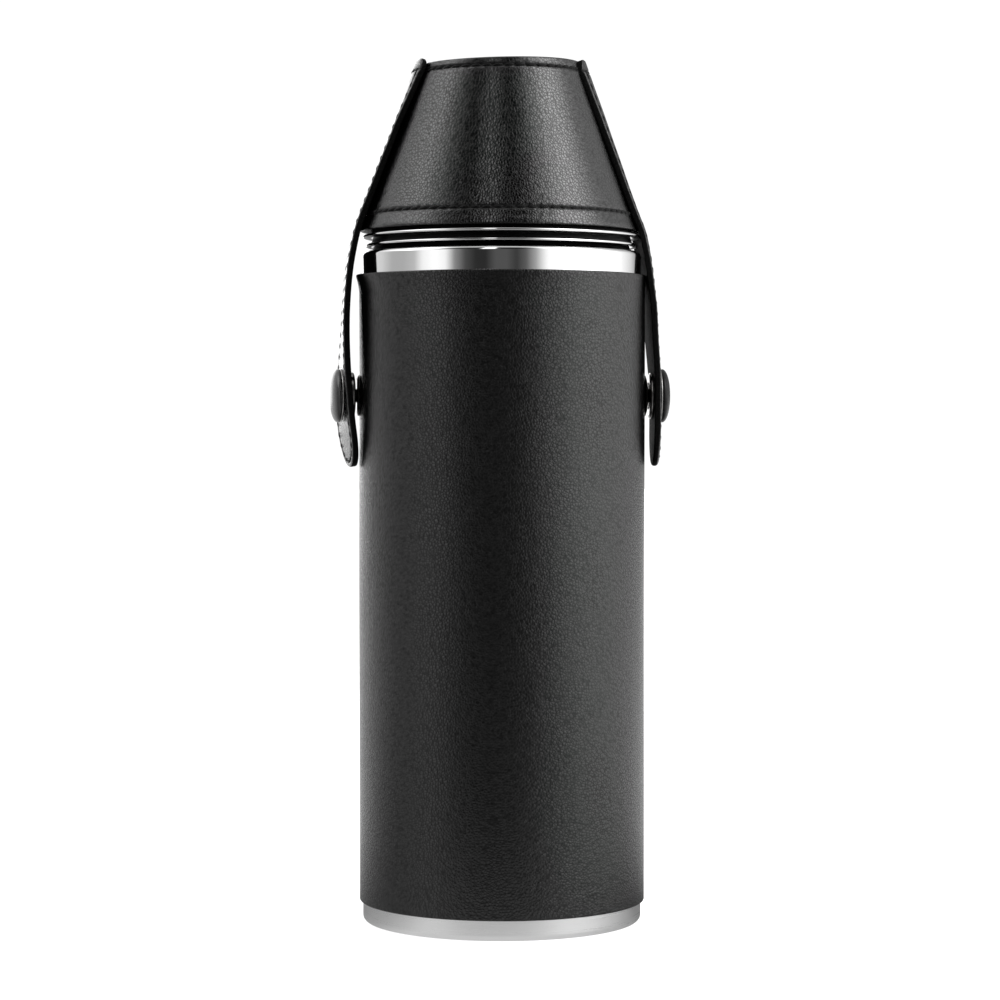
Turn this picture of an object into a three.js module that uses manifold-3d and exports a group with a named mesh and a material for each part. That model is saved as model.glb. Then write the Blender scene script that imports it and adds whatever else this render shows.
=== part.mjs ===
// A cylindrical hunting flask: a welded steel bottle in a leather sleeve, with two nesting steel cups
// upside down over its screw cap, held by a leather cover whose two straps press-stud to the bottle.
// Millimetres, +Z up. The origin is the middle of the foot. The straps lie on +X and -X, the sleeve's
// seam on +Y.
import * as THREE from "three";
import { ParametricGeometry } from "three/addons/geometries/ParametricGeometry.js";
import { mergeVertices } from "three/addons/utils/BufferGeometryUtils.js";
import Module from "manifold-3d";

const wasm = await Module();
wasm.setup();

// ---- Driving dimensions ----

const GAP = 0.1; // between pieces that are welded, glued or pressed together
const BIG = 36; // segments round the bottle, the cups and the cover
const MEDIUM = 24; // segments round the neck and the screw cap
const SMALL = 16; // segments round the press studs

const STEEL_R = 39; // outside of the bottle
const STEEL_T = 0.6;
const FOOT_R = 33; // inside of the flat ring the bottle stands on
const FOOT_CORNER = 1.5;
const BASE_RISE = 3; // the middle of the base stands clear of the ground
const BASE_WELD = 9; // the base pan meets the tube here, under the sleeve
const SHOULDER_WELD = 178.5; // the tube meets the shoulder here, under the sleeve
const LAP = 4.5; // how far a pressed end reaches into the tube
const LEDGE = 187.2; // the shoulder's ledge, which the cups stand on
const LEDGE_CORNER = 1.3;
const SPIGOT_R = 35.6; // of the shoulder's rise, which centres the cups

const SLEEVE_R = 40;
const SLEEVE_T = 0.95;
const SLEEVE_BOTTOM = 5.7;
const SLEEVE_TOP = 180.7;
const SEAM = 0.4; // open width of a butt seam in the leather

const CUP_T = 0.5;
const CUP_R = 36.5; // outside of a cup's wall where it meets its lip
const CUP_H = 42.3; // from the middle of the lip to the cup's flat end
const CUP_CORNER = 2.5;
const LIP_T = 0.75; // the lip is the wall's edge, turned outward and pressed flat
const LIP_BEND = 0.5;
const INNER_LIP_R = 38.1;
const INNER_LIP_Z = 188.9;
const OUTER_LIP_R = 38.8;
const OUTER_LIP_Z = 191.45;

const SLOPE = 0.346; // how much the cups and the cover narrow for each mm of height
const HEM = 192.9; // the cover's lower edge
const HEM_R = 38.4;
const COVER_TOP = 239.5;
const COVER_T = 1.1;
const LINING_T = 0.6;
const CROWN_FLOOR = 235.6; // upper face of the recessed crown
const CROWN_T = 1.2;
const CROWN_STITCH = 237.2;
const HEM_STITCH = 197.6;
const THREAD_R = 0.175;

const STRAP_W = 20;
const STRAP_T = 1.8;
const STRAP_TOP = 239.8;
const STRAP_OFF = 0.5; // between the cover's wall and the strap sewn over its stitching
const STRAP_HEM = 193; // the strap leaves the cover here
const STRAP_HEM_X = 39.2;
const STRAP_FLAT_TOP = 156; // the strap is flat from here
const STRAP_FLAT_END = 139; // to here
const STRAP_TIP = 127.4;
const STRAP_CURL = 1.1; // how far the tip bends in
const STITCH_IN = 1.6; // from the strap's edge to its stitching

const SNAP_Z = 147.1;
const SNAP_X = 42.5; // inner face of the strap at the press stud
const SNAP_CAP_R = 7.5;
const SNAP_CAP_H = 3.2;
const SOCKET_R = 6.2;
const SOCKET_T = 1.1;
const STUD_T = 0.7; // of the stud's flange
const KNOB_GAP = 0.15; // the knob stops this short of the socket's mouth
const POST_R = 1.5;
const POST_FLANGE_R = 4.2; // of the rivet head behind the sleeve
const POST_FLANGE_T = 0.3;

const NECK_SEAT = 196; // flat top of the shoulder round the neck
const NECK_TOP = 208;
const NECK_R = 12;
const NECK_BORE = 10.8;
const COLLAR_R = 14;
const PITCH = 4; // of the screw thread
const RIDGE_H = 1;
const THREAD_START = 200;
const CAP_R = 16;
const CAP_T = 0.8;
const CAP_BOTTOM = 197.6;
const CAP_TOP = 212;
const LINER_BORE = 13.4;

// ---- Profiles ----

const v2 = (r, z) => new THREE.Vector2(r, z);

// Radius of the cover's outer face, and the level width of a sloping wall of a given thickness.
const coverR = (z) => HEM_R - SLOPE * (z - HEM);
const across = (thickness) => thickness * Math.hypot(1, SLOPE);

// Points on a circle in a profile, from one angle to another, in degrees.
function arc(r, z, radius, from, to, steps) {
  return Array.from({ length: steps + 1 }, (_, i) => {
    const a = THREE.MathUtils.degToRad(from + ((to - from) * i) / steps);
    return v2(r + radius * Math.cos(a), z + radius * Math.sin(a));
  });
}

// A line of points moved sideways, to its left.
function offset(line, distance) {
  const normals = line.slice(1).map((p, i) => {
    const d = p.clone().sub(line[i]).normalize();
    return v2(-d.y, d.x);
  });
  return line.map((p, i) => {
    const a = normals[Math.max(i - 1, 0)];
    const b = normals[Math.min(i, normals.length - 1)];
    return p.clone().addScaledVector(a.clone().add(b), distance / (1 + a.dot(b)));
  });
}

// The profile of a bent sheet, whose material lies to the left of the line.
const sheet = (line, thickness) => [...line, ...offset(line, thickness).reverse()];

// Where a line of points that runs downwards is at one height.
function xAt(line, z) {
  const i = Math.max(1, line.findIndex((p) => p.y <= z));
  const [a, b] = [line[i - 1], line[i]];
  return a.x + ((b.x - a.x) * (z - a.y)) / (b.y - a.y);
}

// ---- Solids ----

// A profile given counter-clockwise round its material, spun about Z.
function turned(profile, segments) {
  const points = [...profile];
  const last = points[points.length - 1];
  if (points[0].x > 0 || last.x > 0) points.push(points[0].clone());
  return new THREE.LatheGeometry(points, segments).rotateX(Math.PI / 2);
}

// A turned press stud piece on the X axis: profile heights become distances from the origin.
function stud(profile) {
  return turned(profile, SMALL).rotateY(Math.PI / 2).translate(0, 0, SNAP_Z);
}

// A straight rod along X through the press stud, for holes.
function drill(radius, from, to) {
  return stud([v2(0, from), v2(radius, from), v2(radius, to), v2(0, to)]);
}

function block(x, y, z, middle) {
  return new THREE.BoxGeometry(x, y, z).translate(...middle);
}

function solid(geometry) {
  const bare = geometry.clone();
  bare.deleteAttribute("normal");
  bare.deleteAttribute("uv");
  const merged = mergeVertices(bare, 1e-4);
  return new wasm.Manifold(
    new wasm.Mesh({
      numProp: 3,
      vertProperties: merged.attributes.position.array,
      triVerts: new Uint32Array(merged.index.array),
    }),
  );
}

function surface(made) {
  const mesh = made.getMesh();
  return new THREE.BufferGeometry()
    .setAttribute("position", new THREE.BufferAttribute(mesh.vertProperties, 3))
    .setIndex(new THREE.BufferAttribute(mesh.triVerts, 1));
}

const cut = (geometry, ...tools) =>
  surface(tools.reduce((left, tool) => left.subtract(solid(tool)), solid(geometry)));
const common = (a, b) => surface(solid(a).intersect(solid(b)));
const joined = (a, b) => surface(solid(a).add(solid(b)));

// A thread laid along a line of points, with closed ends.
function cord(points, steps, radius = THREAD_R) {
  const section = new THREE.Shape().absarc(0, 0, radius, 0, Math.PI * 2);
  return new THREE.ExtrudeGeometry(section, {
    steps,
    curveSegments: 5,
    bevelEnabled: false,
    extrudePath: new THREE.CatmullRomCurve3(points),
  });
}

// A screw ridge between two turns of one helix, tapering to nothing at both ends. side is 1 outside
// a core and -1 in a bore.
function screwRidge(rootR, side, startZ, fromTurn, toTurn) {
  const sunk = 0.25; // how far the ridge is rooted in its core
  const taper = 10; // the share of the ridge that tapers is one over this
  const corners = [
    [-sunk, -0.8],
    [RIDGE_H, -0.3],
    [RIDGE_H, 0.3],
    [-sunk, 0.8],
  ];
  const place = (u, v, target) => {
    const full = Math.min(1, Math.min(u, 1 - u) * taper);
    const [out, up] = corners[Math.round(v * corners.length) % corners.length];
    const r = rootR + side * (-sunk + (out + sunk) * full);
    const turn = fromTurn + u * (toTurn - fromTurn);
    const angle = turn * Math.PI * 2;
    target.set(r * Math.cos(angle), r * Math.sin(angle), startZ + turn * PITCH + side * up * full);
  };
  const steps = Math.round((toTurn - fromTurn) * MEDIUM);
  return new ParametricGeometry(place, steps, corners.length);
}

// ---- Materials ----

const material = (color, roughness, metalness) =>
  new THREE.MeshStandardMaterial({ color, roughness, metalness });
const polishedSteel = material(0xd8d8d8, 0.12, 1);
const satinSteel = material(0xbcbcbc, 0.38, 1);
const sleeveLeather = material(0x1a1a1a, 0.5, 0);
const coverLeather = material(0x181818, 0.32, 0);
const suede = material(0x202020, 0.95, 0);
const blackThread = material(0x0c0c0c, 0.7, 0);
const blackEnamel = material(0x161616, 0.25, 0.6);
const darkNickel = material(0x55565a, 0.3, 1);
const blackPlastic = material(0x222222, 0.5, 0);
const silicone = material(0xd9d9d4, 0.6, 0);

const group = new THREE.Group();

function add(name, geometry, look, parent = group) {
  const mesh = new THREE.Mesh(geometry, look);
  mesh.name = name;
  parent.add(mesh);
}

// ---- The steel bottle ----

const lapR = STEEL_R - STEEL_T - GAP;

function basePan() {
  const outside = [
    v2(0, BASE_RISE),
    v2(FOOT_R - BASE_RISE, BASE_RISE),
    v2(FOOT_R, 0),
    ...arc(STEEL_R - FOOT_CORNER, FOOT_CORNER, FOOT_CORNER, -90, 0, 2),
    v2(STEEL_R, BASE_WELD - GAP - STEEL_T),
    v2(lapR, BASE_WELD),
    v2(lapR, BASE_WELD + LAP),
  ];
  return turned(sheet(outside, STEEL_T), BIG);
}

function tube() {
  const inner = STEEL_R - STEEL_T;
  return turned(
    [v2(inner, BASE_WELD), v2(STEEL_R, BASE_WELD), v2(STEEL_R, SHOULDER_WELD), v2(inner, SHOULDER_WELD)],
    BIG,
  );
}

function shoulder() {
  const outside = [
    v2(lapR, SHOULDER_WELD - LAP),
    v2(lapR, SHOULDER_WELD),
    v2(STEEL_R, SHOULDER_WELD + STEEL_T + GAP),
    ...arc(STEEL_R - LEDGE_CORNER, LEDGE - LEDGE_CORNER, LEDGE_CORNER, 0, 90, 2),
    v2(SPIGOT_R + 0.6, LEDGE),
    v2(SPIGOT_R, LEDGE + 2),
    v2(COLLAR_R + 1.5, NECK_SEAT),
    v2(NECK_R + GAP, NECK_SEAT),
  ];
  return turned(sheet(outside, STEEL_T), BIG);
}

function neck() {
  const core = turned(
    [
      v2(NECK_BORE, NECK_SEAT - 2),
      v2(NECK_R, NECK_SEAT - 2),
      v2(NECK_R, NECK_SEAT + GAP),
      v2(COLLAR_R, NECK_SEAT + GAP),
      v2(COLLAR_R, NECK_SEAT + 1.1),
      v2(NECK_R, NECK_SEAT + 1.1),
      v2(NECK_R, NECK_TOP - 0.4),
      v2(NECK_R - 0.4, NECK_TOP),
      v2(NECK_BORE, NECK_TOP),
    ],
    MEDIUM,
  );
  return joined(core, screwRidge(NECK_R, 1, THREAD_START, 0, 1.4));
}

function sleeve() {
  const inner = SLEEVE_R - SLEEVE_T;
  const wall = turned(
    [v2(inner, SLEEVE_BOTTOM), v2(SLEEVE_R, SLEEVE_BOTTOM), v2(SLEEVE_R, SLEEVE_TOP), v2(inner, SLEEVE_TOP)],
    BIG,
  );
  const pocket = inner + POST_FLANGE_T + GAP;
  const middle = (SLEEVE_BOTTOM + SLEEVE_TOP) / 2;
  return cut(
    wall,
    block(SEAM, 4, SLEEVE_TOP, [0, SLEEVE_R, middle]),
    drill(POST_R + 0.3, -SLEEVE_R - 1, SLEEVE_R + 1),
    drill(POST_FLANGE_R + 0.3, -pocket, pocket),
  );
}

add("base_pan", basePan(), satinSteel);
add("body_tube", tube(), satinSteel);
add("shoulder", shoulder(), polishedSteel);
add("neck", neck(), satinSteel);
add("sleeve", sleeve(), sleeveLeather);

// ---- The screw cap ----

function capShell() {
  const outside = [
    v2(CAP_R, CAP_BOTTOM),
    ...arc(CAP_R - 1.5, CAP_TOP - 1.5, 1.5, 0, 90, 2),
    v2(0, CAP_TOP),
  ];
  return turned(sheet(outside, CAP_T), MEDIUM);
}

function capLiner() {
  const outerR = CAP_R - CAP_T - GAP;
  const roof = NECK_TOP + 1.4;
  const shell = turned(
    [
      v2(LINER_BORE, CAP_BOTTOM + 0.2),
      v2(outerR, CAP_BOTTOM + 0.2),
      v2(outerR, roof),
      v2(outerR - 1.5, roof + 1.5),
      v2(0, roof + 1.5),
      v2(0, roof),
      v2(LINER_BORE, roof),
    ],
    MEDIUM,
  );
  return joined(shell, screwRidge(LINER_BORE, -1, THREAD_START - PITCH / 2, 0.15, 1.25));
}

function gasket() {
  const bottom = NECK_TOP + 0.05;
  const top = NECK_TOP + 1.3;
  return turned([v2(9.5, bottom), v2(13.2, bottom), v2(13.2, top), v2(9.5, top)], MEDIUM);
}

add("cap_shell", capShell(), polishedSteel);
add("cap_liner", capLiner(), blackPlastic);
add("cap_gasket", gasket(), silicone);

// ---- The nesting cups ----

// An upside-down cup whose edge is an out-turned lip, centred at height lipZ.
function cup(lipZ, lipR) {
  const endZ = lipZ + CUP_H;
  const endR = CUP_R - SLOPE * CUP_H;
  const cornerAngle = THREE.MathUtils.radToDeg(Math.atan(SLOPE));
  const wallTop = endZ - CUP_CORNER;
  const cornerR = CUP_R - SLOPE * (wallTop - lipZ) - CUP_CORNER * Math.cos(Math.atan(SLOPE));
  const edge = LIP_T / 2;
  const outside = [
    ...arc(lipR - edge, lipZ, edge, -90, 90, 4),
    v2(CUP_R + LIP_BEND, lipZ + edge),
    v2(CUP_R - SLOPE * (edge + LIP_BEND), lipZ + edge + LIP_BEND),
    ...arc(cornerR, wallTop, CUP_CORNER, cornerAngle, 90, 2),
    v2(0, endZ),
  ];
  const insideR = CUP_R - across(CUP_T);
  const inside = [
    v2(0, endZ - CUP_T),
    ...arc(cornerR, wallTop, CUP_CORNER - CUP_T, 90, cornerAngle, 2),
    v2(insideR, lipZ),
    v2(insideR + LIP_BEND, lipZ - edge),
  ];
  if (endR < CUP_CORNER) throw new Error("the cup tapers to a point");
  return turned([...outside, ...inside], BIG);
}

add("inner_cup", cup(INNER_LIP_Z, INNER_LIP_R), polishedSteel);
add("outer_cup", cup(OUTER_LIP_Z, OUTER_LIP_R), polishedSteel);

// ---- The leather cover ----

// A cone that lies inside the cover's outer face, between two heights.
function cone(depth, thickness, bottom, top) {
  const outer = (z) => coverR(z) - across(depth);
  const inner = (z) => outer(z) - across(thickness);
  return turned(
    [v2(inner(bottom), bottom), v2(outer(bottom), bottom), v2(outer(top), top), v2(inner(top), top)],
    BIG,
  );
}

// The cover's wall is one piece of leather, butted under the strap on +X.
function coverWall() {
  const seam = block(HEM_R, SEAM, COVER_TOP, [HEM_R / 2 + 10, 0, COVER_TOP / 2 + HEM / 2]);
  return cut(cone(0, COVER_T, HEM, COVER_TOP), seam);
}

function crown() {
  const flangeTop = COVER_TOP - 0.2;
  const flangeR = (z) => coverR(z) - across(COVER_T + GAP);
  const underside = CROWN_FLOOR - CROWN_T;
  return turned(
    sheet([v2(0, underside), v2(flangeR(underside), underside), v2(flangeR(flangeTop), flangeTop)], CROWN_T),
    BIG,
  );
}

// A ring of stitching round the cover.
function stitchRing(z) {
  const ring = new THREE.TorusGeometry(coverR(z) + THREAD_R + 0.05, THREAD_R, 5, BIG);
  return ring.translate(0, 0, z);
}

add("cover_wall", coverWall(), coverLeather);
add("cover_lining", cone(COVER_T + GAP, LINING_T, HEM + 0.7, CROWN_FLOOR - CROWN_T - 0.4), suede);
add("cover_crown", crown(), coverLeather);
add("cover_crown_thread", stitchRing(CROWN_STITCH), blackThread);
add("cover_hem_thread", stitchRing(HEM_STITCH), blackThread);

// ---- The straps and press studs, made on +X ----

const rootLine = [STRAP_TOP, STRAP_HEM + 0.3].map((z) => v2(coverR(z) + STRAP_OFF, z));

function tailLine() {
  const hemSteer = 10; // how far the strap keeps the cover's slope before it bends down
  const bow = new THREE.QuadraticBezierCurve(
    v2(STRAP_HEM_X, STRAP_HEM),
    v2(STRAP_HEM_X + SLOPE * hemSteer, STRAP_HEM - hemSteer),
    v2(SNAP_X, STRAP_FLAT_TOP),
  );
  const curl = new THREE.QuadraticBezierCurve(
    v2(SNAP_X, STRAP_FLAT_END),
    v2(SNAP_X, (STRAP_FLAT_END + STRAP_TIP) / 2),
    v2(SNAP_X - STRAP_CURL, STRAP_TIP),
  );
  return [...bow.getPoints(7), ...curl.getPoints(3)];
}

// The part of the strap that is sewn to the cover.
function strapRoot() {
  const round = turned(sheet(rootLine, STRAP_T), BIG);
  return common(round, block(2 * HEM_R, STRAP_W, COVER_TOP, [HEM_R, 0, COVER_TOP]));
}

// The free end of the strap, with its rounded tip and the hole for the press stud.
function strapTail() {
  const width = STRAP_W / 2;
  const band = new THREE.ExtrudeGeometry(new THREE.Shape(sheet(tailLine(), STRAP_T)), {
    depth: STRAP_W,
    bevelEnabled: false,
  });
  band.rotateX(Math.PI / 2).translate(0, width, 0);
  const outline = new THREE.Shape()
    .moveTo(width, STRAP_HEM + 5)
    .lineTo(-width, STRAP_HEM + 5)
    .lineTo(-width, STRAP_TIP + width)
    .absarc(0, STRAP_TIP + width, width, Math.PI, Math.PI * 2);
  const depth = 2 * SLEEVE_R;
  const slab = new THREE.ExtrudeGeometry(outline, { depth, bevelEnabled: false, curveSegments: 10 });
  slab.rotateX(Math.PI / 2).rotateZ(Math.PI / 2);
  return cut(common(band, slab), drill(POST_R + 0.4, SLEEVE_R, SNAP_X + 5));
}

// The stitching along the strap's two edges, up one side, round the end and down the other.
function rootThread() {
  const edge = STRAP_W / 2 - STITCH_IN;
  const top = STRAP_TOP - STITCH_IN;
  const bottom = STRAP_HEM + 1.6;
  const outer = (z) => coverR(z) + STRAP_OFF + across(STRAP_T) + THREAD_R + 0.15;
  const on = (y, z) => new THREE.Vector3(Math.sqrt(outer(z) ** 2 - y ** 2), y, z);
  const side = (y) => [0, 1, 2, 3, 4, 5, 6].map((i) => on(y, bottom + ((top - 1 - bottom) * i) / 6));
  const end = [-0.85, -0.5, 0, 0.5, 0.85].map((share) => on(edge * share, top));
  return cord([...side(-edge), ...end, ...side(edge).reverse()], 44);
}

function tailThread() {
  const edge = STRAP_W / 2 - STITCH_IN;
  const top = STRAP_HEM - 1;
  const turn = STRAP_TIP + STRAP_W / 2;
  const line = offset(tailLine(), STRAP_T + THREAD_R + 0.1);
  const on = (y, z) => new THREE.Vector3(xAt(line, z), y, z);
  const side = (y) => [0, 1, 2, 3, 4, 5, 6, 7].map((i) => on(y, top + ((turn - top) * i) / 8));
  const end = [0, 1, 2, 3, 4, 5, 6].map((i) => {
    const a = (Math.PI * i) / 6;
    return on(-edge * Math.cos(a), turn - edge * Math.sin(a));
  });
  return cord([...side(-edge), ...end, ...side(edge).reverse()], 44);
}

function snapCap() {
  const face = SNAP_X + STRAP_T + 0.05;
  const crest = SNAP_X + STRAP_T + SNAP_CAP_H;
  return stud([
    v2(0, SNAP_X - 0.4),
    v2(POST_R, SNAP_X - 0.4),
    v2(POST_R, face),
    v2(SNAP_CAP_R - 0.4, face),
    v2(SNAP_CAP_R, face + 0.5),
    v2(SNAP_CAP_R - 0.4, face + 1.2),
    v2(SNAP_CAP_R - 2.4, crest - 0.6),
    v2(SNAP_CAP_R - 5, crest - 0.1),
    v2(0, crest),
  ]);
}

const mouth = SNAP_X - 0.05 - SOCKET_T;
const recessR = 2.7;
const recessFloor = SNAP_X - 0.5;

function snapSocket() {
  const back = SNAP_X - 0.05;
  return stud([
    v2(POST_R + 0.4, recessFloor),
    v2(recessR, recessFloor),
    v2(recessR, mouth),
    v2(SOCKET_R - 0.6, mouth),
    v2(SOCKET_R, mouth + 0.5),
    v2(SOCKET_R - 0.6, back),
    v2(POST_R + 0.4, back),
  ]);
}

// An open ring of wire in the socket, which grips the knob.
function snapSpring() {
  const points = Array.from({ length: 13 }, (_, i) => {
    const a = THREE.MathUtils.degToRad(20 + (320 * i) / 12);
    return new THREE.Vector3(0, 2.35 * Math.cos(a), 2.35 * Math.sin(a));
  });
  return cord(points, 16, 0.14).translate((mouth + recessFloor) / 2, 0, SNAP_Z);
}

function snapStud() {
  const back = SLEEVE_R + 0.05;
  const face = SLEEVE_R + STUD_T;
  const tip = mouth - KNOB_GAP;
  return stud([
    v2(0, tip - 0.2),
    v2(POST_R + 0.15, tip - 0.2),
    v2(POST_R + 0.15, back),
    v2(SOCKET_R - 0.4, back),
    v2(SOCKET_R - 0.2, back + 0.2),
    v2(SOCKET_R - 0.6, face),
    v2(2.3, face),
    v2(1.9, tip),
    v2(0, tip),
  ]);
}

// The rivet whose head lies in a pocket behind the sleeve and holds the stud.
function studPost() {
  const head = STEEL_R + 0.05;
  const end = mouth - KNOB_GAP - 0.3;
  return stud([
    v2(0, head),
    v2(POST_FLANGE_R, head),
    v2(POST_FLANGE_R, head + POST_FLANGE_T),
    v2(POST_R, head + POST_FLANGE_T),
    v2(POST_R, end),
    v2(0, end),
  ]);
}

function addSide(side, turn) {
  const holder = new THREE.Group();
  holder.rotation.z = turn;
  group.add(holder);
  add(`strap_root_${side}`, strapRoot(), coverLeather, holder);
  add(`strap_root_thread_${side}`, rootThread(), blackThread, holder);
  add(`strap_tail_${side}`, strapTail(), coverLeather, holder);
  add(`strap_tail_thread_${side}`, tailThread(), blackThread, holder);
  add(`snap_cap_${side}`, snapCap(), blackEnamel, holder);
  add(`snap_socket_${side}`, snapSocket(), darkNickel, holder);
  add(`snap_spring_${side}`, snapSpring(), darkNickel, holder);
  add(`snap_stud_${side}`, snapStud(), darkNickel, holder);
  add(`stud_post_${side}`, studPost(), darkNickel, holder);
}

addSide("right", 0);
addSide("left", Math.PI);

export default group;
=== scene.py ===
"""Looks for the leather-covered flask with nesting cups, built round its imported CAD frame.

Lengths are millimetres until a mesh is made, and metres after that.
"""

import math

import bmesh
import bpy
import numpy as np
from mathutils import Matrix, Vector


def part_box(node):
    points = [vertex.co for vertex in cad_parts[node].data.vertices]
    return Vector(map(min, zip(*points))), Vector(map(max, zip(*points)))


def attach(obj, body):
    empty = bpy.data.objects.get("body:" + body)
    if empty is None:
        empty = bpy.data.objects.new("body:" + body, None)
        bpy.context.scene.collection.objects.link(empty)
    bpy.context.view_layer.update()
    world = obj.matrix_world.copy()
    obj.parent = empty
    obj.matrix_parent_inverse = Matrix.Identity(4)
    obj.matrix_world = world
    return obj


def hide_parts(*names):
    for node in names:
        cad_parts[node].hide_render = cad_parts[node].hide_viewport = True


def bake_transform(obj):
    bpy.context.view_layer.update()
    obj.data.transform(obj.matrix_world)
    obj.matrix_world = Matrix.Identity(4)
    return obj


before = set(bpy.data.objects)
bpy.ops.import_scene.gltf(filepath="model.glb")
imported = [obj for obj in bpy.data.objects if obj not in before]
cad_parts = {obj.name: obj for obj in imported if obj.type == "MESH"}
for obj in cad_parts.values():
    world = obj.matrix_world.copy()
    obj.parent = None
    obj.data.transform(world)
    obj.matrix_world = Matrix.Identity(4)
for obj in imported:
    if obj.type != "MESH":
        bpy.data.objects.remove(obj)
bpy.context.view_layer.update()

MM = 0.001


def low(node):
    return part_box(node)[0] / MM


def high(node):
    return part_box(node)[1] / MM


# ---- Sizes, the same as the CAD's ----

STEEL_R = high("body_tube").x
STEEL_T = 0.6
SLEEVE_R = high("sleeve").x
SLEEVE_T = 0.95
SLEEVE_BOTTOM = low("sleeve").z
SLEEVE_TOP = high("sleeve").z
BASE_WELD = low("body_tube").z
SHOULDER_WELD = high("body_tube").z
LAP = 4.5
GAP = 0.1
LEDGE = 187.2
SPIGOT_R = 35.6
NECK_HOLE_R = 15.5  # where the shoulder's cone meets the flat round the neck
CUP_R = 36.5
CUP_T = 0.5
CUP_H = 42.3
CUP_CORNER = 2.5
LIP_T = 0.75
LIP_BEND = 0.5
SLOPE = 0.346
COVER_ASIDE = 0.35
HEM = low("cover_wall").z
HEM_R = high("cover_wall").x
COVER_TOP = high("cover_wall").z
COVER_T = 1.1
LINING_T = 0.6
CROWN_FLOOR = 235.6
CROWN_T = 1.2
CROWN_STITCH = 237.2
HEM_STITCH = 197.6
STRAP_W = 20
STRAP_T = 1.8
STRAP_TOP = 239.8
STRAP_HEM = 193.0
STRAP_TIP = low("strap_tail_right").z
STITCH_IN = 1.6
CROSS_ROW = 3.4  # from a strap's top end to the stitches across it
SKIN_T = 1.78  # a strap's thickness at its middle, once its edges are rounded
SKIN_ROUND = 0.55
TOP_CORNER = 3.0  # radius of the two corners at a strap's top
LEFT_STAND_OFF = [(196, 1.4), (207, 1.0), (218, 0.6), (230, 0.3), (240, 0.3)]  # height, gap
PITCH = 3.1  # of the stitches
SNAP_X = 42.5
SNAP_Z = (low("snap_cap_right").z + high("snap_cap_right").z) / 2
SNAP_CAP_R = 7.5
SNAP_CAP_H = high("snap_cap_right").x - SNAP_X - STRAP_T
SOCKET_BACK = SNAP_X - 0.05
KNOB_TIP = SOCKET_BACK - 1.25  # the stud's knob stops short of the bottom of the socket
NECK_SEAT = 196.0
NECK_TOP = high("neck").z
NECK_R = 12.0
NECK_BORE = 10.8
SCREW_PITCH = 4.0
THREAD_START = 200.0
CAP_R = high("cap_shell").x
CAP_BOTTOM = low("cap_shell").z
CAP_TOP = high("cap_shell").z
LINER_BORE = 13.4


def cover_r(z):
    return HEM_R - SLOPE * (z - HEM)


def across(thickness):
    return thickness * math.hypot(1, SLOPE)


# ---- Profiles: arrays of (radius, height) ----


def arc(r, z, radius, start, end, steps):
    a = np.radians(np.linspace(start, end, steps + 1))
    return np.column_stack([r + radius * np.cos(a), z + radius * np.sin(a)])


def offset(line, distance):
    """A line of points moved sideways, to its left."""
    line = np.asarray(line, float)
    d = np.diff(line, axis=0)
    d /= np.linalg.norm(d, axis=1)[:, None]
    n = np.column_stack([-d[:, 1], d[:, 0]])
    a = np.vstack([n[:1], n])
    b = np.vstack([n, n[-1:]])
    return line + (a + b) * (distance / (1 + (a * b).sum(1)))[:, None]


def sheet(line, thickness):
    return np.vstack([line, offset(line, thickness)[::-1]])


def rounded(points, radius, steps=4):
    """A closed outline with each corner rounded; radius is one number or one for each corner."""
    points = np.asarray(points, float)
    radii = np.broadcast_to(radius, len(points))
    out = []
    for i, p in enumerate(points):
        to_last = points[i - 1] - p
        to_next = points[(i + 1) % len(points)] - p
        reach = min(radii[i], np.linalg.norm(to_last) * 0.45, np.linalg.norm(to_next) * 0.45)
        if reach < 1e-6:
            out.append(p[None])
            continue
        a = p + to_last / np.linalg.norm(to_last) * reach
        b = p + to_next / np.linalg.norm(to_next) * reach
        t = np.linspace(0, 1, steps + 1)[:, None]
        out.append((1 - t) ** 2 * a + 2 * t * (1 - t) * p + t**2 * b)
    return np.vstack(out)


def dense(points, step, closed=True):
    """The same line with its long stretches divided."""
    points = np.asarray(points, float)
    ends = np.roll(points, -1, axis=0) if closed else points[1:]
    out = []
    for a, b in zip(points, ends):
        n = max(1, int(math.ceil(np.linalg.norm(b - a) / step)))
        out.append(a + (b - a) * (np.arange(n) / n)[:, None])
    if not closed:
        out.append(points[-1:])
    return np.vstack(out)


def smoothstep(x, start, end):
    t = np.clip((x - start) / (end - start), 0, 1)
    return t * t * (3 - 2 * t)


# ---- Meshes ----


def make(name, verts, faces, body=None, slot=None, replaces=(), sharp=50, dull_and_shade=None):
    """A mesh object from points in millimetres. It rides on body, unless that is None.

    dull_and_shade is 0 to 1 for each point: how far the shine is lost there. It is the leather's own dullness
    on its flesh side and cut edges, and painted shade in leather's grooves, in the narrow gaps under steel
    lips and on the right snap cap."""
    mesh = bpy.data.meshes.new(name)
    mesh.from_pydata((np.asarray(verts) * MM).tolist(), [], faces)
    mesh.validate()
    mesh.polygons.foreach_set("use_smooth", np.ones(len(mesh.polygons), bool))
    mesh.set_sharp_from_angle(angle=math.radians(sharp))
    if dull_and_shade is not None:
        mesh.attributes.new("dull_and_shade", "FLOAT", "POINT").data.foreach_set("value", np.asarray(dull_and_shade, float))
    mesh.update()
    obj = bpy.data.objects.new(name, mesh)
    bpy.context.scene.collection.objects.link(obj)
    if slot:
        mesh.materials.append(MATERIALS[slot])
    if replaces:
        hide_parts(*replaces)
    if body:
        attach(obj, body)
    return obj


def grid_faces(rows, cols, wrap_rows, wrap_cols):
    i = np.arange(rows if wrap_rows else rows - 1)[:, None]
    j = np.arange(cols if wrap_cols else cols - 1)[None, :]
    i2, j2 = (i + 1) % rows, (j + 1) % cols
    quads = np.stack([i * cols + j, i * cols + j2, i2 * cols + j2, i2 * cols + j], -1)
    return quads.reshape(-1, 4).tolist()


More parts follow.
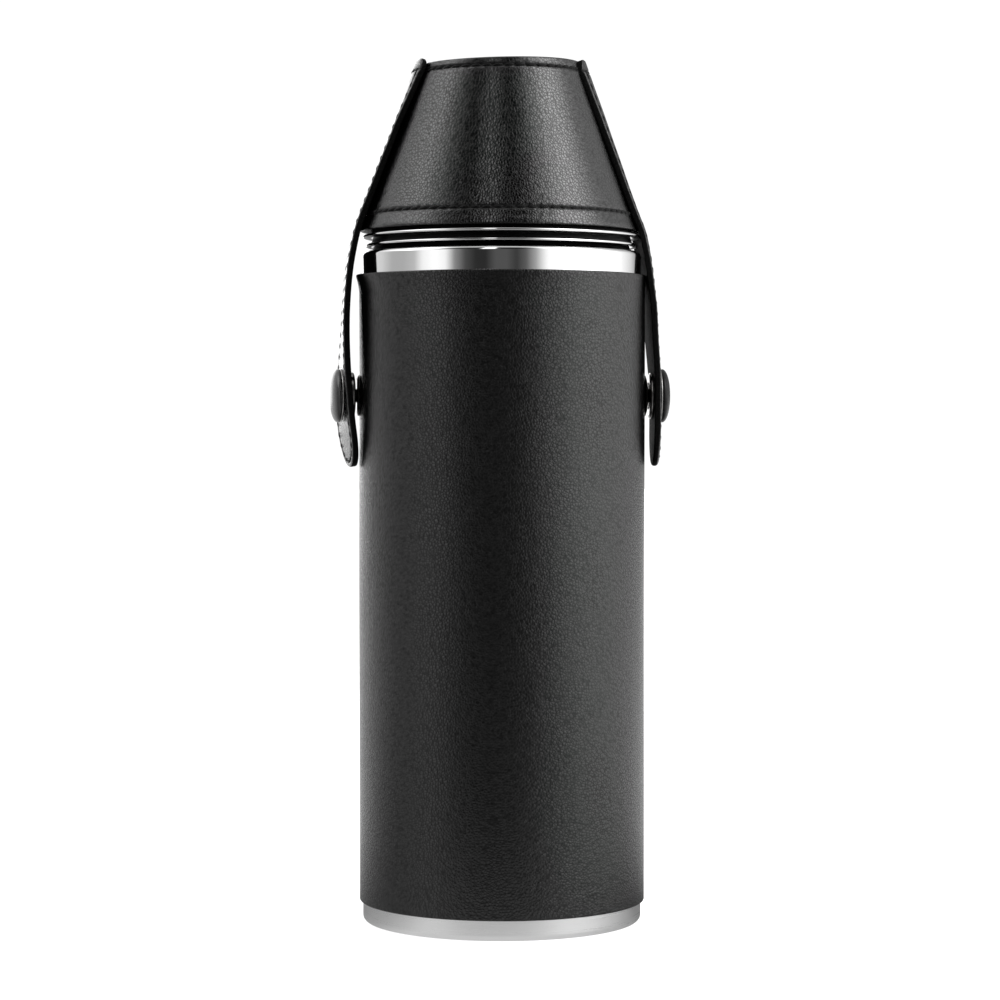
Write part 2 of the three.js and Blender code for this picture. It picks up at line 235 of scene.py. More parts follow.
def held(points, closed, margin=0.12):
    """The same outline with a point just inside each end of its long stretches, which keeps them flat to the
    light when the shading is smooth."""
    ends = np.roll(points, -1, axis=0)
    if not closed:
        points, ends, last = points[:-1], points[1:], points[-1:]
    out = []
    for a, b in zip(points, ends):
        length = np.linalg.norm(b - a)
        out.append(a[None])
        if length > 4 * margin:
            share = margin / length
            out.append(np.array([a + (b - a) * share, b + (a - b) * share]))
    if not closed:
        out.append(last)
    return np.vstack(out)


def turned(profile, segments=160, shape=None, angles=None):
    """Points and faces of a profile, counter-clockwise round its material, spun about Z.

    shape(r, z, angle) may move the points: r and z are arrays of profile points by angles."""
    profile = np.asarray(profile, float)
    poles = profile[0, 0] < 1e-9 and profile[-1, 0] < 1e-9
    profile = held(profile, closed=not poles)
    if angles is None:
        angles = np.arange(segments) / segments * 2 * math.pi
    ring = profile[1:-1] if poles else profile
    r = np.repeat(ring[:, :1], len(angles), 1)
    z = np.repeat(ring[:, 1:], len(angles), 1)
    if shape:
        r, z = shape(r, z, angles[None, :])
    verts = np.stack([r * np.cos(angles), r * np.sin(angles), z], -1).reshape(-1, 3)
    rows, cols = r.shape
    faces = grid_faces(rows, cols, not poles, True)
    if poles:
        first, last = len(verts), len(verts) + 1
        tips = np.array([[0, 0, profile[0, 1]], [0, 0, profile[-1, 1]]])
        if shape:
            tips[:, 2] = shape(tips[:, :1], tips[:, 2:], angles[None, :1])[1][:, 0]
        verts = np.vstack([verts, tips])
        for j in range(cols):
            k = (j + 1) % cols
            faces.append([first, k, j])
            faces.append([last, (rows - 1) * cols + j, (rows - 1) * cols + k])
    return verts, faces


def along_x(verts, z, side):
    """A turned piece laid on the X axis at height z; side is 1 on the right and -1 on the left."""
    x, y, h = verts.T
    return np.column_stack([side * h, side * y, z - x])


def merge(parts):
    verts, faces, start = [], [], 0
    for v, f in parts:
        verts.append(v)
        faces += [[i + start for i in face] for face in f]
        start += len(v)
    return np.vstack(verts), faces


# ---- Materials ----


class Nodes:
    """A short way to write a node tree."""

    def __init__(self, tree):
        self.tree = tree

    def add(self, kind, inputs=None, **settings):
        node = self.tree.nodes.new(kind)
        for key, value in settings.items():
            setattr(node, key, value)
        for key, value in (inputs or {}).items():
            if isinstance(value, bpy.types.NodeSocket):
                self.tree.links.new(value, node.inputs[key])
            else:
                node.inputs[key].default_value = value
        return node

    def math(self, operation, a, b=0.0, c=0.0):
        return self.add("ShaderNodeMath", {0: a, 1: b, 2: c}, operation=operation).outputs[0]

    def ramp(self, value, stops, mode="LINEAR"):
        node = self.add("ShaderNodeValToRGB", {"Fac": value})
        node.color_ramp.interpolation = mode
        elements = node.color_ramp.elements
        while len(elements) < len(stops):
            elements.new(0.5)
        for element, (position, colour) in zip(elements, stops):
            element.position = position
            grey = colour if isinstance(colour, tuple) else (colour,) * 3
            element.color = (*grey, 1)
        return node.outputs["Color"]

    def range(self, value, low, high, to_low, to_high):
        node = self.add(
            "ShaderNodeMapRange",
            {"Value": value, "From Min": low, "From Max": high, "To Min": to_low, "To Max": to_high},
        )
        return node.outputs["Result"]

    def noise(self, vector, scale, detail=2.0, roughness=0.5):
        node = self.add(
            "ShaderNodeTexNoise",
            {"Vector": vector, "Scale": scale, "Detail": detail, "Roughness": roughness},
        )
        return node.outputs["Fac"]

    def bump(self, height, distance, strength=1.0, normal=None):
        inputs = {"Height": height, "Distance": distance, "Strength": strength}
        if normal:
            inputs["Normal"] = normal
        return self.add("ShaderNodeBump", inputs).outputs["Normal"]


def material(name):
    mat = bpy.data.materials.new(name)
    mat.use_nodes = True
    mat.node_tree.nodes.clear()
    n = Nodes(mat.node_tree)
    n.position = n.add("ShaderNodeTexCoord").outputs["Object"]
    return mat, n


def finish_material(n, **inputs):
    names = {key.replace("_", " "): value for key, value in inputs.items()}
    shader = n.add("ShaderNodeBsdfPrincipled", names)
    n.add("ShaderNodeOutputMaterial", {"Surface": shader.outputs["BSDF"]})


def leather(name, shade, rough, grain, depth, gloss, crease_shine):
    """Pebble-grained black leather. grain is the pebbles' size and depth the creases', in millimetres.
    crease_shine is the share of the shine that is left in the creases, a painted shade there; the creases'
    colour is darkened as painted shade too."""
    mat, n = material(name)
    size = grain * MM
    warp = n.add("ShaderNodeTexNoise", {"Vector": n.position, "Scale": 0.45 / size, "Detail": 1.0})
    warped = n.add(
        "ShaderNodeVectorMath",
        {0: warp.outputs["Color"], 1: (size * 0.9,) * 3, 2: n.position},
        operation="MULTIPLY_ADD",
    ).outputs[0]
    pebbles = n.add(
        "ShaderNodeTexVoronoi", {"Vector": warped, "Scale": 1 / size}, feature="DISTANCE_TO_EDGE"
    ).outputs["Distance"]
    domes = n.add("ShaderNodeTexVoronoi", {"Vector": warped, "Scale": 1 / size}).outputs["Distance"]
    crease = n.ramp(pebbles, [(0.0, 0.0), (0.07, 0.5), (0.26, 1.0)], "B_SPLINE")
    fine = n.noise(n.position, 2.6 / size, 3.0, 0.6)
    coarse = n.noise(n.position, 0.32 / size, 2.0, 0.5)
    height = n.math("MULTIPLY_ADD", fine, 0.5, crease)
    height = n.math("MULTIPLY_ADD", domes, -0.7, height)
    height = n.math("MULTIPLY_ADD", coarse, 1.3, height)
    relief = n.math("MULTIPLY_ADD", domes, -0.7, n.math("MULTIPLY_ADD", fine, 0.5, crease))
    # Painted shade: the creases keep only crease_shine of the shine, and the pebbles' tops get more.
    in_the_open = n.range(relief, 0.1, 0.9, crease_shine, 1.5 - crease_shine / 2)
    patches = n.noise(n.position, 55.0, 3.0, 0.55)
    soft = n.bump(patches, 0.5 * MM, 0.3, n.bump(height, depth * MM, 1.0))
    # dull_and_shade: the leather's own dullness on the flesh side and cut edges, and painted shade in the
    # stitched grooves.
    dull_and_shade = n.add("ShaderNodeAttribute", attribute_name="dull_and_shade").outputs["Fac"]
    shine = n.math("SUBTRACT", 1.0, dull_and_shade)
    # Painted shade darkens the creases' colour; the patches are the leather's own uneven tone.
    tone = n.math("MULTIPLY", n.range(crease, 0.0, 1.0, 0.4, 1.0), n.range(patches, 0.3, 0.7, 0.8, 1.2))
    colour = n.ramp(n.math("MULTIPLY", tone, n.range(dull_and_shade, 0.0, 1.0, shade, 0.008)), [(0.0, 0.0), (1.0, 1.0)])
    sheen_of_grain = n.range(crease, 0.0, 1.0, rough + 0.08, rough)
    roughness = n.math("ADD", sheen_of_grain, n.range(patches, 0.3, 0.7, -0.02, 0.02))
    finish_material(
        n,
        Base_Color=colour,
        Roughness=n.math("MULTIPLY_ADD", dull_and_shade, 0.45, roughness),
        Normal=soft,
        Specular_IOR_Level=n.math("MULTIPLY_ADD", n.math("MULTIPLY", shine, in_the_open), 0.54, 0.01),
        Coat_Weight=n.math("MULTIPLY", shine, gloss),
        Coat_Roughness=0.1,
        Coat_Normal=soft,
    )
    return mat


def steel(name, shade, rough, lines, line_depth, dirt=0.02):
    """Steel with fine lines turned round the axis, and painted dark where dull_and_shade marks a painted
    shade.
    """
    mat, n = material(name)
    x, y, z = (n.add("ShaderNodeSeparateXYZ", {0: n.position}).outputs[i] for i in range(3))
    stretched = n.add(
        "ShaderNodeCombineXYZ",
        {0: n.math("MULTIPLY", x, 25.0), 1: n.math("MULTIPLY", y, 25.0), 2: n.math("MULTIPLY", z, lines)},
    ).outputs[0]
    brushed = n.noise(stretched, 1.0, 4.0, 0.7)
    smears = n.noise(n.position, 70.0, 3.0, 0.6)
    scratch_vector = n.add(
        "ShaderNodeCombineXYZ",
        {0: n.math("MULTIPLY", x, 900.0), 1: n.math("MULTIPLY", y, 900.0), 2: n.math("MULTIPLY", z, 90.0)},
    ).outputs[0]
    scratches = n.noise(scratch_vector, 1.0, 1.0, 0.5)
    roughness = n.math(
        "ADD",
        n.range(brushed, 0.3, 0.7, rough * 0.8, rough * 1.2),
        n.math("ADD", n.range(smears, 0.35, 0.7, 0.0, dirt), n.range(scratches, 0.62, 0.8, 0.0, dirt)),
    )
    # dull_and_shade is painted shade: the steel's colour drops to 3% and its roughness rises in narrow gaps.
    dull_and_shade = n.add("ShaderNodeAttribute", attribute_name="dull_and_shade").outputs["Fac"]
    clean = n.range(smears, 0.3, 0.7, shade * 0.97, shade)
    tint = n.ramp(n.math("MULTIPLY", clean, n.range(dull_and_shade, 0.0, 1.0, 1.0, 0.03)), [(0.0, 0.0), (1.0, 1.0)])
    finish_material(
        n,
        Base_Color=tint,
        Metallic=1.0,
        Roughness=n.math("MULTIPLY_ADD", dull_and_shade, 0.3, roughness),
        Normal=n.bump(brushed, line_depth * MM, 1.0),
    )
    return mat


def thread():
    mat, n = material("waxed_thread")
    plies = n.add(
        "ShaderNodeTexWave",
        {"Vector": n.position, "Scale": 900.0, "Distortion": 2.0, "Detail": 1.0},
        bands_direction="DIAGONAL",
    ).outputs["Fac"]
    fibres = n.noise(n.position, 9000.0, 2.0)
    height = n.math("MULTIPLY_ADD", fibres, 0.4, plies)
    tone = n.ramp(height, [(0.0, 0.0006), (1.0, 0.004)])
    finish_material(
        n,
        Base_Color=tone,
        Roughness=n.range(fibres, 0.3, 0.7, 0.34, 0.5),
        Normal=n.bump(height, 0.05 * MM, 0.8),
        Specular_IOR_Level=0.12,
    )
    return mat


def enamel():
    mat, n = material("gloss_black_enamel")
    peel = n.noise(n.position, 700.0, 2.0)
    wear = n.noise(n.position, 2600.0, 3.0, 0.65)
    # dull_and_shade is painted shade here: it takes the shine and the coat off the right cap, which darkens
    # it.
    dull_and_shade = n.add("ShaderNodeAttribute", attribute_name="dull_and_shade").outputs["Fac"]
    finish_material(
        n,
        Base_Color=n.ramp(peel, [(0.3, 0.006), (0.7, 0.012)]),
        Roughness=n.range(wear, 0.4, 0.75, 0.22, 0.34),
        Specular_IOR_Level=n.range(dull_and_shade, 0.0, 1.0, 0.45, 0.0),
        Coat_Weight=n.range(dull_and_shade, 0.0, 1.0, 0.3, 0.0),
        Coat_Roughness=0.1,
        Normal=n.bump(peel, 0.03 * MM, 0.5),
    )
    return mat


def speckled(name, noise, colours, roughness, bump, **more):
    """One noise drives the colour, roughness and bump. noise is (scale, detail, roughness) and bump is
    (depth in millimetres, strength)."""
    mat, n = material(name)
    specks = n.noise(n.position, *noise)
    finish_material(
        n,
        Base_Color=n.ramp(specks, list(zip((0.3, 0.7), colours))),
        Roughness=n.range(specks, 0.3, 0.7, *roughness),
        Normal=n.bump(specks, bump[0] * MM, bump[1]),
        **more,
    )
    return mat


def nickel():
    colours = (0.26, 0.255, 0.25), (0.42, 0.41, 0.4)
    return speckled("dark_nickel_plate", (900.0, 4.0, 0.6), colours, (0.12, 0.26), (0.02, 0.6), Metallic=1.0)


def suede():
    mat, n = material("black_suede")
    nap = n.noise(n.position, 3500.0, 4.0, 0.7)
    brushed = n.noise(n.position, 120.0, 2.0)
    shade = n.math("MULTIPLY", n.range(nap, 0.3, 0.7, 0.6, 1.3), n.range(brushed, 0.3, 0.7, 0.8, 1.2))
    tone = n.ramp(shade, [(0.3, (0.012, 0.012, 0.012)), (1.0, (0.035, 0.034, 0.034))])
    finish_material(
        n,
        Base_Color=tone,
        Roughness=0.95,
        Sheen_Weight=0.5,
        Sheen_Roughness=0.5,
        Normal=n.bump(nap, 0.15 * MM, 1.0),
    )
    return mat


def plastic():
    colours = (0.018, 0.018, 0.018), (0.026, 0.026, 0.027)
    return speckled("black_plastic", (1800.0, 3.0, 0.6), colours, (0.42, 0.55), (0.03, 0.6))


def silicone():
    colours = (0.62, 0.61, 0.58), (0.72, 0.71, 0.68)
    glow = {"Subsurface_Weight": 0.3, "Subsurface_Scale": 0.001}
    return speckled("off_white_silicone", (400.0, 3.0, 0.5), colours, (0.5, 0.62), (0.02, 0.5), **glow)


MATERIALS = {
    "satin_steel": steel("satin_steel", 0.78, 0.3, 5200.0, 0.012),
    "polished_steel": steel("polished_steel", 0.8, 0.06, 2600.0, 0.001),
    "sleeve_leather": leather("sleeve_leather", 0.0015, 0.17, 0.8, 0.042, 0.0, 0.65),
    "cover_leather": leather("cover_leather", 0.001, 0.09, 0.8, 0.03, 0.2, 0.5),
    "suede": suede(),
    "thread": thread(),
    "black_enamel": enamel(),
    "dark_nickel": nickel(),
    "black_plastic": plastic(),
    "silicone": silicone(),
}

# ---- Stitching ----


def stitch(length, width, height):
    """One stitch: rows of (along, across, up), arched so that its two ends dip into the leather."""
    t = np.linspace(-1, 1, 9)
    around = np.arange(8) / 8 * 2 * math.pi
    girth = np.sqrt(np.clip(1 - np.abs(t) ** 3.2, 0.03, 1))[:, None]
    along = np.repeat(t[:, None] * length / 2, 8, 1)
    side = girth * np.cos(around) * width / 2
    up = girth * np.sin(around) * height / 2 + height * (0.22 - 0.75 * np.abs(t)[:, None] ** 2.6)
    verts = np.stack([along, side, up], -1).reshape(-1, 3)
    faces = grid_faces(9, 8, False, True)
    faces.append(list(range(8))[::-1])
    faces.append(list(range(64, 72)))
    return verts, faces


STITCH = stitch(2.8, 0.75, 0.42)


def stitches(places, surface, slant=7.0):
    """Stitches laid on a surface. places are (u, v, direction) with the direction in degrees from u to v;
    surface(u, v, up) gives points."""
    parts = []
    for u, v, direction in places:
        a = math.radians(direction + slant)
        along, side, up = STITCH[0].T
        points = surface(
            u + along * math.cos(a) - side * math.sin(a), v + along * math.sin(a) + side * math.cos(a), up
        )
        parts.append((points, STITCH[1]))
    return merge(parts)


# ---- The steel bottle ----

lap_r = STEEL_R - STEEL_T - GAP


def base_pan():
    foot_r, corner, rise = 33.0, 1.5, 3.0
    line = np.vstack(
        [
            [[0, rise]],
            arc(foot_r - rise - 2, rise - 2.4, 2.4, 90, 45, 6),
            arc(foot_r + 0.4, 1.3, 1.3, -135, -90, 5),
            arc(STEEL_R - corner, corner, corner, -90, 0, 10),
            [[STEEL_R, BASE_WELD - GAP - STEEL_T], [lap_r, BASE_WELD], [lap_r, BASE_WELD + LAP]],
        ]
    )
    return turned(sheet(line, STEEL_T))


def tube():
    inner = STEEL_R - STEEL_T
    corners = [(inner, BASE_WELD), (STEEL_R, BASE_WELD), (STEEL_R, SHOULDER_WELD), (inner, SHOULDER_WELD)]
    return turned(rounded(corners, 0.1, 2))


def shoulder():
    corner = 1.3
    line = np.vstack(
        [
            [[lap_r, SHOULDER_WELD - LAP], [lap_r, SHOULDER_WELD], [STEEL_R, SHOULDER_WELD + STEEL_T + GAP]],
            arc(STEEL_R - corner, LEDGE - corner, corner, 0, 90, 10),
            arc(SPIGOT_R + 1.2, LEDGE + 0.6, 0.6, -90, -160, 5),
            arc(SPIGOT_R - 1.0, LEDGE + 1.4, 1.0, 15, 75, 6),
            [[NECK_HOLE_R + 3, NECK_SEAT - 0.75], [NECK_HOLE_R + 1, NECK_SEAT - 0.18]],
            [[NECK_HOLE_R - 1, NECK_SEAT]],
            [[NECK_R + GAP, NECK_SEAT]],
        ]
    )
    return turned(sheet(line, STEEL_T), 192)


def spigot_painted_shade(verts):
    """Painted shade: dark at the foot of the spigot, where the inner cup's lip keeps the light out."""
    x, y, z = verts.T
    foot = (1 - smoothstep(np.hypot(x, y), SPIGOT_R + 1.0, SPIGOT_R + 1.6)) * (z > LEDGE - 0.2)
    return foot * (1 - smoothstep(z, LEDGE + 1.8, LEDGE + 2.6))


def screw_ridge(z, angle, start, first, last):
    """Height, from 0 to 1, of a screw ridge between two turns of its helix."""
    turn = angle / (2 * math.pi)
    best = np.zeros(np.broadcast(z, angle).shape)
    for k in range(-1, 4):
        t = turn + k
        d = np.abs(z - (start + t * SCREW_PITCH))
        taper = np.clip(np.minimum(t - first, last - t) * 8, 0, 1)
        best = np.maximum(best, (1 - smoothstep(d, 0.25, 0.85)) * taper)
    return best


def neck():
    collar_r = 14.0
    collar_z = NECK_SEAT + GAP, NECK_SEAT + 1.1
    foot = [(NECK_BORE, NECK_SEAT - 2), (NECK_R, NECK_SEAT - 2)]
    collar = [(NECK_R, collar_z[0]), (collar_r, collar_z[0]), (collar_r, collar_z[1]), (NECK_R, collar_z[1])]
    corners = [*foot, *collar, (NECK_R, NECK_TOP), (NECK_BORE, NECK_TOP)]
    profile = dense(rounded(corners, [0.2, 0.2, 0.1, 0.3, 0.4, 0.4, 0.5, 0.5]), 0.2)

    def threads(r, z, angle):
        outside = (r > NECK_R - 0.01) & (z > NECK_SEAT + 1.6)
        return r + outside * screw_ridge(z, angle, THREAD_START, 0, 1.4), z

    return turned(profile, 144, threads)


SEAM_ANGLE = math.pi / 2


def sleeve():
    inner = SLEEVE_R - SLEEVE_T
    corners = [(inner, SLEEVE_BOTTOM), (SLEEVE_R, SLEEVE_BOTTOM), (SLEEVE_R, SLEEVE_TOP), (inner, SLEEVE_TOP)]
    profile = dense(rounded(corners, [0.12, 0.42, 0.42, 0.12], 6), 2.0)
    beside = np.array([0.08, 0.15, 0.25, 0.4, 0.6, 0.9])
    fine = SEAM_ANGLE + np.concatenate([-beside[::-1], [0], beside]) / SLEEVE_R
    even = np.arange(240) / 240 * 2 * math.pi
    angles = np.sort(np.concatenate([even[np.abs(even - SEAM_ANGLE) > 1.2 / SLEEVE_R], fine]))

    def fit(r, z, angle):
        outer = smoothstep(r, inner + 0.3, SLEEVE_R - 0.2)
        ripple = 0.035 * (
            np.sin(3 * angle + z / 19) + np.sin(5 * angle - z / 31 + 1.3) + np.sin(2 * angle + z / 47 + 4)
        )
        seam = 0.6 * np.exp(-(((angle - SEAM_ANGLE) * SLEEVE_R / 0.22) ** 2))
        pressed = 0.12 * np.exp(-(((np.abs(angle - SEAM_ANGLE) * SLEEVE_R - 2.2) / 0.5) ** 2))
        lift = smoothstep(z, SLEEVE_TOP - 6, SLEEVE_TOP) ** 2
        flare = 1.2 * lift * np.exp(-(((angle - math.pi - 0.25) / 0.35) ** 2))
        loose = 0.12 * lift * (1 + np.sin(3 * angle + 0.5))
        return r + outer * (ripple - seam - pressed) + flare + loose, z

    return turned(profile, shape=fit, angles=angles)


def sleeve_seam():
    def on(u, v, up):
        a = SEAM_ANGLE + u / SLEEVE_R
        r = SLEEVE_R - 0.08 + up
        return np.column_stack([r * np.cos(a), r * np.sin(a), v])

    heights = np.arange(SLEEVE_BOTTOM + 3, SLEEVE_TOP - 3, PITCH)
    return stitches([(side * 2.2, z, 90) for side in (-1, 1) for z in heights], on, slant=0)


make("base_pan_skin", *base_pan(), "flask", "satin_steel", ["base_pan"])
make("body_tube_skin", *tube(), "flask", "satin_steel", ["body_tube"])
shell = shoulder()
# Painted shade at the spigot's foot darkens the shoulder's steel there.
make("shoulder_skin", *shell, "flask", "polished_steel", ["shoulder"], dull_and_shade=spigot_painted_shade(shell[0]))
make("neck_skin", *neck(), "flask", "satin_steel", ["neck"])
make("sleeve_skin", *sleeve(), "flask", "sleeve_leather", ["sleeve"])
make("sleeve_seam_stitches", *sleeve_seam(), "flask", "thread")

# ---- The screw cap ----


def cap_shell():
    thickness, corner = 0.8, 1.5
    line = np.vstack(
        [
            [[CAP_R, CAP_BOTTOM]],
            arc(CAP_R - corner, CAP_TOP - corner, corner, 0, 90, 8),
            [[CAP_R - 3.2, CAP_TOP], [CAP_R - 3.8, CAP_TOP - 0.25], [0, CAP_TOP - 0.3]],
        ]
    )
    line = dense(line, 0.4, closed=False)
    underside = offset(line, thickness)[::-1]
    underside[0, 0] = 0
    profile = np.vstack([underside, line])

    def flutes(r, z, angle):
        side = smoothstep(r, CAP_R - 0.4, CAP_R - 0.1)
        above_foot = smoothstep(z, CAP_BOTTOM + 1.2, CAP_BOTTOM + 2)
        below_top = 1 - smoothstep(z, CAP_TOP - 3.2, CAP_TOP - 2.4)
        flute = 0.32 * (0.5 + 0.5 * np.cos(48 * angle)) ** 2
        return r - side * above_foot * below_top * flute, z

    return turned(profile, 384, flutes)


def cap_liner():
    outer_r = CAP_R - 0.8 - GAP
    roof = NECK_TOP + 1.4
    foot = CAP_BOTTOM + 0.2
    crest = roof + 1.2
    inside = dense([(0, roof), (LINER_BORE, roof), (LINER_BORE, foot)], 0.25, closed=False)
    outside = dense(
        [(LINER_BORE, foot), (outer_r, foot), (outer_r, roof), (outer_r - 1.5, crest), (0, crest)],
        0.25,
        closed=False,
    )
    profile = np.vstack([inside[:-1], outside])

    def threads(r, z, angle):
        bore = (r < LINER_BORE + 0.01) & (r > LINER_BORE - 0.01) & (z < roof - 0.3)
        return r - bore * screw_ridge(z, angle, THREAD_START - SCREW_PITCH / 2, 0.15, 1.25), z

    return turned(profile, 144, threads)


def gasket():
    bottom, top = NECK_TOP + 0.05, NECK_TOP + 1.3
    return turned(rounded([(9.5, bottom), (13.2, bottom), (13.2, top), (9.5, top)], 0.3), 96)


make("cap_shell_skin", *cap_shell(), "cap", "polished_steel", ["cap_shell"])
make("cap_liner_skin", *cap_liner(), "cap", "black_plastic", ["cap_liner"])
make("cap_gasket_skin", *gasket(), "cap_seal", "silicone", ["cap_gasket"])

# ---- The cups ----


def cup(node):
    """An upside-down cup, its lip the sheet's edge turned outward and pressed flat."""
    lip_z = low(node).z + LIP_T / 2
    lip_r = high(node).x
    end_z = lip_z + CUP_H
    tilt = math.degrees(math.atan(SLOPE))
    wall_top = end_z - CUP_CORNER
    corner_r = CUP_R - SLOPE * (wall_top - lip_z) - CUP_CORNER * math.cos(math.radians(tilt))
    edge = LIP_T / 2
    inner_r = CUP_R - across(CUP_T)
    inside = np.vstack(
        [
            [[0, end_z - CUP_T]],
            arc(corner_r, wall_top, CUP_CORNER - CUP_T, 90, tilt, 8),
            arc(inner_r + 0.9, lip_z - edge + 0.9, 0.9, 180 + tilt, 270, 6),
        ]
    )
    outside = np.vstack(
        [
            arc(lip_r - edge, lip_z, edge, -90, 90, 12),
            arc(CUP_R + LIP_BEND, lip_z + edge + LIP_BEND, LIP_BEND, -90, tilt - 180, 6),
            arc(corner_r, wall_top, CUP_CORNER, tilt, 90, 8),
            [[0, end_z]],
        ]
    )
    return turned(np.vstack([inside, outside]), 192)


def lip_gap_painted_shade(verts, lip_top, depth, inside_r):
    """Painted shade: dark just above a lip, where the next lip down or the hem keeps the light out, and under
    the lip.
    """
    x, y, z = verts.T
    r = np.hypot(x, y)
    above_lip = smoothstep(z, lip_top + 0.1, lip_top + 0.3)
    below_gap_end = 1 - smoothstep(z, lip_top + depth, lip_top + depth + 0.5)
    under = 1 - smoothstep(z, lip_top - LIP_T + 0.02, lip_top - LIP_T + 0.1)
    return np.maximum(above_lip * below_gap_end, under) * (r > inside_r)


for node, gap in (("inner_cup", 1.9), ("outer_cup", 1.3)):
    verts, faces = cup(node)
    # Painted shade in the gaps between the lips and under each lip.
    dull_and_shade = lip_gap_painted_shade(verts, low(node).z + LIP_T, gap, CUP_R - 1.6)
    make(f"{node}_skin", verts, faces, node, "polished_steel", [node], dull_and_shade=dull_and_shade)

# ---- The leather cover ----


def rim_wave(angle):
    """The hand-cut upper edge of the cover isn't quite level."""
    return 0.38 * np.cos(angle - 0.1) + 0.12 * np.cos(2 * angle + 0.8)


def pulled(r, z, angle):
    """The left strap, which stands off a little, draws the cover out toward itself."""
    reach = np.exp(-(((np.mod(angle, 2 * math.pi) - math.pi) / 0.5) ** 2))
    heights, gaps = zip(*LEFT_STAND_OFF)
    return r + reach * np.minimum(np.interp(z, heights, gaps), 1.0)


def settled(verts):
    """The cover sits a little to the left on the cups."""
    return verts + np.array([-COVER_ASIDE, 0, 0])


def cover_lift(z, angle):
    return z + smoothstep(z, COVER_TOP - 9, COVER_TOP) * rim_wave(angle)


def stitch_dent(z, angle, line, count, depth=0.34):
    """A pressed line along a row of stitches, deepest at the needle holes."""
    holes = 0.65 + 0.35 * np.cos(angle * count)
    return depth * np.exp(-(((z - line) / 0.6) ** 2)) * holes


CROWN_COUNT = round(2 * math.pi * cover_r(CROWN_STITCH) / PITCH)
HEM_COUNT = round(2 * math.pi * cover_r(HEM_STITCH) / PITCH)


def cone(depth, thickness, bottom, top, radii):
    corners = []
    for d, z in ((depth + thickness, bottom), (depth, bottom), (depth, top), (depth + thickness, top)):
        corners.append((cover_r(z) - across(d), z))
    return rounded(corners, radii, 6)


def cover_wall():
    profile = dense(cone(0, COVER_T, HEM, COVER_TOP, [0.15, 0.5, 0.55, 0.2]), 0.35)

    def worked(r, z, angle):
        outer = smoothstep(r, cover_r(z) - across(COVER_T) + 0.2, cover_r(z) - 0.2)
        dents = stitch_dent(z, angle, CROWN_STITCH, CROWN_COUNT)
        dents = dents + stitch_dent(z, angle, HEM_STITCH, HEM_COUNT)
        ripple = 0.045 * (np.sin(2 * angle + z / 9 + 0.6) + np.sin(4 * angle - z / 13 + 2.1))
        edge = 0.1 * np.exp(-(((z - HEM - 1.2) / 0.9) ** 2)) * (1 + 0.5 * np.sin(7 * angle))
        return pulled(r + outer * (ripple + edge - dents), z, angle), cover_lift(z, angle)

    return turned(profile, 432, worked)


def cover_lining():
    profile = dense(cone(COVER_T + GAP, LINING_T, HEM + 0.7, CROWN_FLOOR - CROWN_T - 0.4, 0.15), 2.0)
    return turned(profile, 160)


def crown():
    flange_top = COVER_TOP - 0.2
    underside = CROWN_FLOOR - CROWN_T

    def flange_r(z):
        return cover_r(z) - across(COVER_T + GAP)

    bend = 1.6
    line = np.vstack(
        [
            [[0, underside]],
            arc(flange_r(underside) - bend - 0.35, underside + bend, bend, -90, 0, 8) + [[0.3, 0]],
            [[flange_r(flange_top), flange_top]],
        ]
    )
    line = dense(line, 0.5, closed=False)
    inner = offset(line, CROWN_T)[::-1]
    inner[:, 1] = np.minimum(inner[:, 1], flange_top - 0.05)
    profile = np.vstack([line, inner])

    def sag(r, z, angle):
        middle = 1 - smoothstep(r, 4, 19)
        puff = 0.25 * middle + 0.03 * np.sin(3 * angle + r / 4) * smoothstep(r, 2, 12)
        z = z + puff * (z < CROWN_FLOOR + 0.5)
        return r, z + (cover_lift(z, angle) - z) * smoothstep(r, 1, 18)

    return turned(profile, 288, sag)


def cover_surface(u, v, up):
    """u runs round the cover in millimetres at height v, up is off the leather."""
    angle = u / np.mean(cover_r(v))
    slope_cos = 1 / math.hypot(1, SLOPE)
    r = pulled(cover_r(v) - 0.12 + up * slope_cos, v, angle)
    z = cover_lift(v + up * SLOPE * slope_cos, angle)
    return np.column_stack([r * np.cos(angle), r * np.sin(angle), z])


def cover_stitches(line, count):
    radius = cover_r(line)
    half_strap = math.asin((STRAP_W / 2 + 0.2) / radius)
    places = []
    for i in range(count):
        angle = (i + 0.5) / count * 2 * math.pi
        from_right = abs(math.remainder(angle, 2 * math.pi))
        if min(from_right, math.pi - from_right) > half_strap:
            places.append((angle * radius, line, 0))
    return stitches(places, cover_surface, slant=5)


def make_cover(name, shape, slot, node, dull_and_shade=None):
    verts, faces = shape
    make(name, settled(verts), faces, "cover", slot, [node], dull_and_shade=dull_and_shade)


def wall_dull_and_shade(verts):
    """Dull at the cut edges and inside, the leather's own dullness, and painted shade in the stitched
    grooves.
    """
    x, y, z = verts.T
    r = np.hypot(x, y)
    # Painted shade in the stitched grooves.
    grooves = sum(np.exp(-(((z - line) / 0.6) ** 4)) for line in (CROWN_STITCH, HEM_STITCH))
    inside = smoothstep(cover_r(z) - r, 0.45, 0.75)
    edge = 1 - smoothstep(z, HEM, HEM + 0.35)
    return np.clip(0.85 * grooves + inside + 0.6 * edge, 0, 1)


wall = cover_wall()
make_cover("cover_wall_skin", wall, "cover_leather", "cover_wall", wall_dull_and_shade(wall[0]))
make_cover("cover_lining_skin", cover_lining(), "suede", "cover_lining")
make_cover("cover_crown_skin", crown(), "cover_leather", "cover_crown")
make_cover("cover_crown_stitches", cover_stitches(CROWN_STITCH, CROWN_COUNT), "thread", "cover_crown_thread")
make_cover("cover_hem_stitches", cover_stitches(HEM_STITCH, HEM_COUNT), "thread", "cover_hem_thread")

# ---- The straps ----


